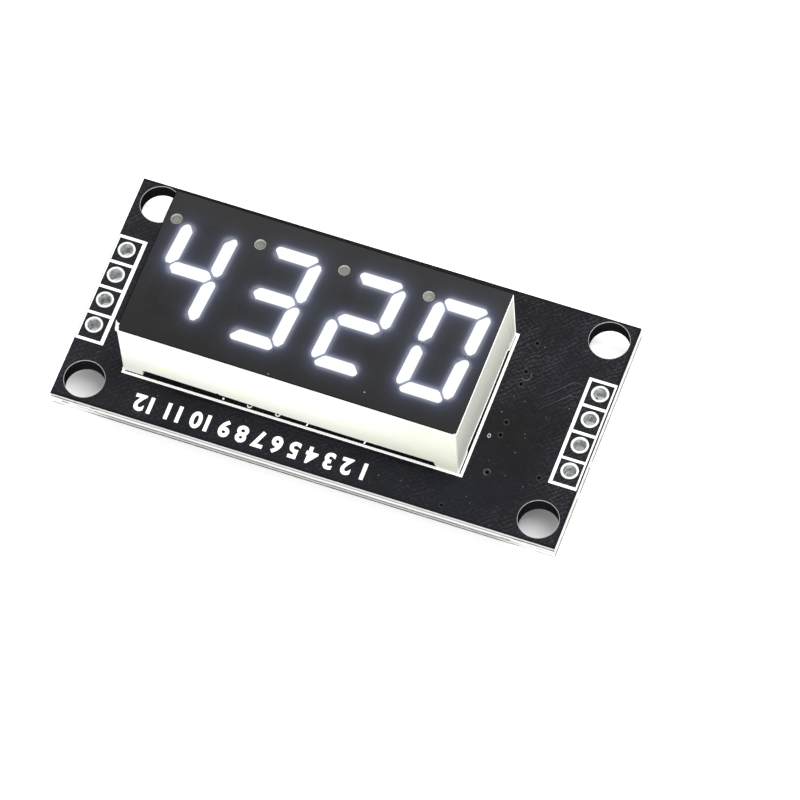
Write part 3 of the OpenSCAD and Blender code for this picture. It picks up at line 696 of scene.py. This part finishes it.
# a faint line in the mask along the near side, parallel to the display outline: a painted reflection of the housing in
# the glossy mask
bm = bmesh.new()
ribbon(bm, [(-12.4, -7.62), (-2.0, -7.64), (9.0, -7.6)], 0.07, C0, C1)
piece("mask_line_near", bm, TRACE)

# via rims in the mask
bm = bmesh.new()
for x, y, r in ((14.68, 6.66, 0.27), (14.68, 2.58, 0.27), (14.73, -1.21, 0.27), (14.68, -2.51, 0.27), (19.07, -5.25, 0.25),
                (12.25, -10.28, 0.25), (14.68, 3.82, 0.26)):
    ring(bm, x, y, [(r - 0.05, C0), (r + 0.05, C0), (r, C1)], 28)
piece("via_rims", bm, VIA, smooth=True)
bm = bmesh.new()
ring(bm, 14.80, -6.15, [(0.26, C0), (0.31, C0), (0.31, C1), (0.26, C1)], 32, math.radians(20), math.radians(290))
ring(bm, 14.80, 3.46, [(0.42, C0), (0.47, C0), (0.47, C1), (0.42, C1)], 40, math.radians(-125), math.radians(40))
piece("dull_copper_rims", bm, DULL)
bm = bmesh.new()
ring(bm, 13.80, -2.87, [(0.11, C0), (0.175, C0), (0.175, C1), (0.11, C1)], 28)
bmesh.ops.scale(bm, vec=(0.8, 1.15, 1.0), verts=bm.verts, space=Matrix.Translation(Vector((-13.80, 2.87, 0.0)) * MM))
piece("bare_copper_rims", bm, RIM)

# specks of dust and flux on the mask, where the photograph has them
rng = random.Random(11)
bm = bmesh.new()
for x, y, r in ((15.37, 6.6, 0.07), (14.47, 1.4, 0.06), (15.5, 1.2, 0.05), (14.0, -0.35, 0.08), (16.56, -1.7, 0.06), (16.72, -2.06, 0.05),
                (16.36, -3.6, 0.06), (18.05, -6.4, 0.07), (19.25, 1.75, 0.06), (6.3, -9.3, 0.06), (8.25, -9.15, 0.05), (-6.0, -8.1, 0.06),
                (14.9, 2.4, 0.05), (16.3, -5.9, 0.05), (-13.9, -8.3, 0.05), (17.7, 0.4, 0.04), (13.9, -8.8, 0.05)):
    bmesh.ops.create_icosphere(bm, subdivisions=2, radius=1.0, matrix=Matrix.Translation(Vector((x + 0.03, y - 0.07, BOARD_T + 0.008)) * MM)
                               @ Matrix.Rotation(rng.uniform(0, math.pi), 4, "Z")
                               @ Matrix.Diagonal((r * MM, r * rng.uniform(0.55, 0.9) * MM, 0.02 * MM, 1.0)))
piece("board_specks", bm, SPECK, smooth=True)
bm = bmesh.new()
for x, y, r in ((4.15, -5.87, 0.07), (-4.0, -6.86, 0.05)):
    bmesh.ops.create_icosphere(bm, subdivisions=2, radius=1.0, matrix=Matrix.Translation(Vector((x, y, FACE_Z - 0.004)) * MM)
                               @ Matrix.Diagonal((r * MM, r * 0.8 * MM, 0.012 * MM, 1.0)))
piece("face_specks", bm, RIM, smooth=True)

# ------------------------------------------------------------------ display details
def swept(bm, sections):
    """A strip through cross-sections, each a closed list of (x, y, z) in mm."""
    loops = [[bm.verts.new((x * MM, y * MM, z * MM)) for x, y, z in sec] for sec in sections]
    for p, q in zip(loops, loops[1:]):
        for j in range(len(p)):
            k = (j + 1) % len(p)
            bm.faces.new((p[j], q[j], q[k], p[k]))
    bm.faces.new(loops[0])
    bm.faces.new(loops[-1][::-1])


# rounded rims along the upper and lower edges of both end walls, and their far corners, in a glowing white: painted
# highlights
E = DISP_X / 2
SKIRT = [(-6.99, 1.62), (-5.0, 1.62), (-4.84, 2.22), (-3.0, 2.12), (-1.5, 2.07), (0.0, 2.04), (1.5, 2.08), (3.0, 2.14), (4.93, 2.28), (5.36, 1.62), (6.99, 1.62)]
bm = bmesh.new()
for side in (-1, 1):
    def at(x, y, z):
        return (*on_display(side * x, y), z)
    y_near = -6.95 if side > 0 else -6.3
    swept(bm, [[at(E - 0.03, y, TOP_Z - 0.16), at(E + 0.05, y, TOP_Z - 0.12), at(E + 0.05, y, TOP_Z - 0.05), at(E - 0.03, y, TOP_Z - 0.005)]
               for y in (y_near, -3.0, 0.0, 3.0, 6.9)])
    swept(bm, [[at(E - 0.03, y, z + 0.21), at(E + 0.035, y, z + 0.15), at(E + 0.035, y, z + 0.08), at(E - 0.03, y, z + 0.05)] for y, z in SKIRT])
    swept(bm, [[at(E - 0.03, 6.80, z), at(E + 0.04, 6.86, z), at(E + 0.03, 6.93, z), at(E - 0.03, 6.97, z)] for z in (1.62, 5.0, TOP_Z - 0.01)])
piece("housing_rims", bm, RIM_HIGHLIGHT, smooth=False)

# pale rims of the point windows
bm = bmesh.new()
for dx in DIGIT_X:
    cx, cy = on_display(dx + POINT[0], DIGIT_Y + POINT[1])
    ring(bm, cx, cy, [(0.43, TOP_Z - 0.01), (0.495, TOP_Z - 0.01), (0.495, TOP_Z + 0.19), (0.475, TOP_Z + 0.19), (0.44, TOP_Z + 0.08)], 40)
piece("point_rims", bm, POINT_RIM, smooth=False)

# ------------------------------------------------------------------ underside
B0, B1 = -0.018, 0.002
LEAD_X = [-1.5 + (i - 3.5) * 1.27 for i in range(8)]
PIN_X = [DISP_CX + (i - 2.5) * PITCH for i in range(6)]
bm = bmesh.new()
rows = DISP_CY + 5.08
for s in (-1, 1):
    for i in range(6):
        lx, px = LEAD_X[i + 1], PIN_X[i]
        py = DISP_CY + s * 5.08
        ribbon(bm, [(lx, s * 3.3), (lx, s * 3.75), (px, s * 3.75 + s * 0.0 + (py - s * 4.3) * 0.0 + s * abs(px - lx) * 0.12), (px, py - s * 0.6)], 0.22, B0, B1)
# supply and data lines from the chip and the small parts to both header rows
for pts, w in (
    ([(LEAD_X[7], 3.3), (LEAD_X[7], 3.9), (7.2, 6.9), (18.0, 6.9), (20.6, 4.3), (20.9, 3.95)], 0.3),
    ([(LEAD_X[7], -3.3), (LEAD_X[7], -3.9), (6.8, -6.9), (18.2, -6.9), (20.7, -4.4), (20.9, -3.95)], 0.3),
    ([(LEAD_X[0], 3.3), (LEAD_X[0], 3.9), (-9.6, 7.0), (-18.0, 7.0), (-20.7, 4.3), (-20.9, 3.95)], 0.3),
    ([(LEAD_X[0], -3.3), (LEAD_X[0], -3.9), (-9.6, -7.0), (-18.0, -7.0), (-20.7, -4.3), (-20.9, -3.95)], 0.3),
    ([(17.0, 3.4), (18.6, 3.4), (20.3, 1.7), (20.7, 1.35)], 0.22),
    ([(17.0, 1.2), (18.2, 1.2), (20.2, -0.8), (20.7, -1.2)], 0.22),
    ([(15.4, 3.4), (14.2, 2.2), (14.2, -1.5), (12.4, -3.3), (12.4, -6.6)], 0.22),
    ([(15.4, 1.2), (15.0, 0.8), (15.0, -5.0), (14.0, -6.0)], 0.22),
    ([(9.6, 1.3), (9.6, 3.6), (12.9, 6.9)], 0.3),
    ([(9.6, -0.9), (9.6, -3.6), (12.0, -6.0), (12.0, -6.8)], 0.3),
    ([(12.4, 1.1), (12.4, 3.0), (14.0, 4.6), (14.0, 6.8)], 0.22),
    ([(-15.6, 1.4), (-15.6, 4.2), (-16.6, 5.2), (-18.2, 5.2), (-20.6, 2.0), (-20.75, 1.5)], 0.22),
    ([(-15.6, -0.3), (-15.6, -3.4), (-16.6, -4.4), (-18.6, -4.4), (-20.6, -1.8), (-20.75, -1.4)], 0.22),
):
    ribbon(bm, pts, w, B0, B1)
piece("mask_over_traces_rear", bm, TRACE)

S0, S1 = -0.022, 0.002
bm = bmesh.new()


def frame_rect(bm, cx, cy, sx, sy, w=0.15, gap=None):
    prism(bm, rect(cx - sx, cy - sy, cx + sx, cy - sy + w), S0, S1)
    prism(bm, rect(cx - sx, cy + sy - w, cx + sx, cy + sy), S0, S1)
    prism(bm, rect(cx - sx, cy - sy + w, cx - sx + w, cy + sy - w), S0, S1)
    prism(bm, rect(cx + sx - w, cy - sy + w, cx + sx, cy + sy - w), S0, S1)


frame_rect(bm, -1.5, 0, 5.25, 1.9 + 0.25)
frame_rect(bm, 9.6, 0.2, 1.0, 1.75)
frame_rect(bm, 12.4, 0.3, 0.8, 1.5)
frame_rect(bm, 16.2, 3.4, 1.5, 0.8)
frame_rect(bm, 16.2, 1.2, 1.5, 0.8)
frame_rect(bm, -15.6, 0.6, 0.8, 1.5)
ring(bm, -7.4, -2.2, [(0.0001, S0), (0.26, S0), (0.26, S1), (0.0001, S1)], 28)
for side in (-1, 1):
    frame_rect(bm, side * 21.22, 0.0, 1.26, 5.2, 0.2)
piece("print_rear", bm, SILK)

# ------------------------------------------------------------------ floor
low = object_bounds()[0][2]
bm = bmesh.new()
bmesh.ops.create_grid(bm, x_segments=1, y_segments=1, size=1.5, matrix=Matrix.Translation((0, 0, low - 0.01 * MM)))
me = bpy.data.meshes.new("floor")
bm.to_mesh(me)
bm.free()
floor = bpy.data.objects.new("floor", me)
scene.collection.objects.link(floor)
t = Tree("floor_paper_painted_shadow")
x, y, z = t.xyz()
# painted shadow: the floor glows less under the board, over a patch that reaches a little past its far and left edges
# and to just under its near and right edges, least towards the near side; its colour is also darker towards the near
# right under the board. Elsewhere it glows evenly
front = t.ramp(t.math("ABSOLUTE", x), 19.0, 16.5, 9.7, 10.2)
shadow_footprint = t.math("MINIMUM", t.math("MINIMUM", t.math("ADD", x, 23.05), t.math("SUBTRACT", 22.1, x)),
               t.math("MINIMUM", t.math("ADD", y, front), t.math("SUBTRACT", 12.0, y)))
shadow_footprint = t.ramp(shadow_footprint, -0.16, 0.16)
shadow_glow = t.ramp(y, -6.0, 7.0, 0.05, 0.36)
power = t.math("ADD", t.math("MULTIPLY", shadow_glow, shadow_footprint), t.math("MULTIPLY", t.math("SUBTRACT", 1.0, shadow_footprint), 0.6))
paper = t.mix(t.noise(0.02, 2.0), (0.87, 0.87, 0.87), (0.89, 0.89, 0.89))
paper = t.mix(t.math("MULTIPLY", shadow_footprint, t.math("MULTIPLY", t.ramp(x, -5.0, 15.0), t.ramp(y, 4.0, -4.0))), paper, (0.70, 0.70, 0.70))
t.set(base=paper, rough=0.85, spec=0.1, emit=(1.0, 1.0, 1.0), power=power)
# clear from below, so that it doesn't hide the underside of the board
clear = t.new("ShaderNodeMixShader")
t.put(t.new("ShaderNodeNewGeometry").outputs["Backfacing"], clear.inputs[0])
t.put(t.bsdf.outputs[0], clear.inputs[1])
t.put(t.new("ShaderNodeBsdfTransparent").outputs[0], clear.inputs[2])
t.put(clear.outputs[0], next(n for n in t.n if n.type == "OUTPUT_MATERIAL").inputs["Surface"])
me.materials.append(t.mat)


# ------------------------------------------------------------------ light
OVERHEAD, FRONT, BACK, AMBIENT = 7.4, 5.5, 4.5, 0.46


def area(name, place, aim, size, radiance, colour=(1, 1, 1)):
    li = bpy.data.lights.new(name, "AREA")
    li.shape = "DISK"
    li.size = size
    li.energy = radiance * math.pi * math.pi * size ** 2 / 4
    li.color = colour
    ob = bpy.data.objects.new(name, li)
    scene.collection.objects.link(ob)
    ob.location = place
    ob.rotation_euler = (Vector(aim) - Vector(place)).to_track_quat("-Z", "Y").to_euler()
    return ob


area("overhead", (0.20, 0.14, 0.76), (0, 0, 0), 0.45, OVERHEAD)
area("front", (0.12, -0.65, 0.25), (0, 0, 0), 0.5, FRONT)
area("back", (-0.05, 0.60, 0.32), (0, 0, 0), 0.45, BACK)
w = bpy.data.worlds.new("studio")
scene.world = w
w.use_nodes = True
bg = w.node_tree.nodes["Background"]
bg.inputs["Color"].default_value = (1.0, 1.0, 1.0, 1.0)
bg.inputs["Strength"].default_value = AMBIENT
scene.view_settings.view_transform = "Standard"
scene.view_settings.look = "None"
scene.view_settings.exposure = 0.0
scene.view_settings.gamma = 1.0

# ------------------------------------------------------------------ camera
cam = bpy.data.cameras.new("camera")
cam.sensor_fit = "HORIZONTAL"
cam.sensor_width = 36.0
cam.lens = 300.063
cam.shift_x = -0.5 / 800
cam.shift_y = 0.5 / 800
cam.clip_start = 0.01
cam.clip_end = 10
camera = bpy.data.objects.new("camera", cam)
scene.collection.objects.link(camera)
right = Vector((0.93733682, 0.34562214, -0.04410233))
down = Vector((0.28770383, -0.83915756, -0.46156376))
fwd = Vector((-0.19653546, 0.4199523, -0.88601009))
place = Vector((115.643, -237.250, 497.562)) * MM
m = Matrix.Identity(4)
for i in range(3):
    m[i][0], m[i][1], m[i][2], m[i][3] = right[i], -down[i], -fwd[i], place[i]
camera.matrix_world = m
scene.camera = camera
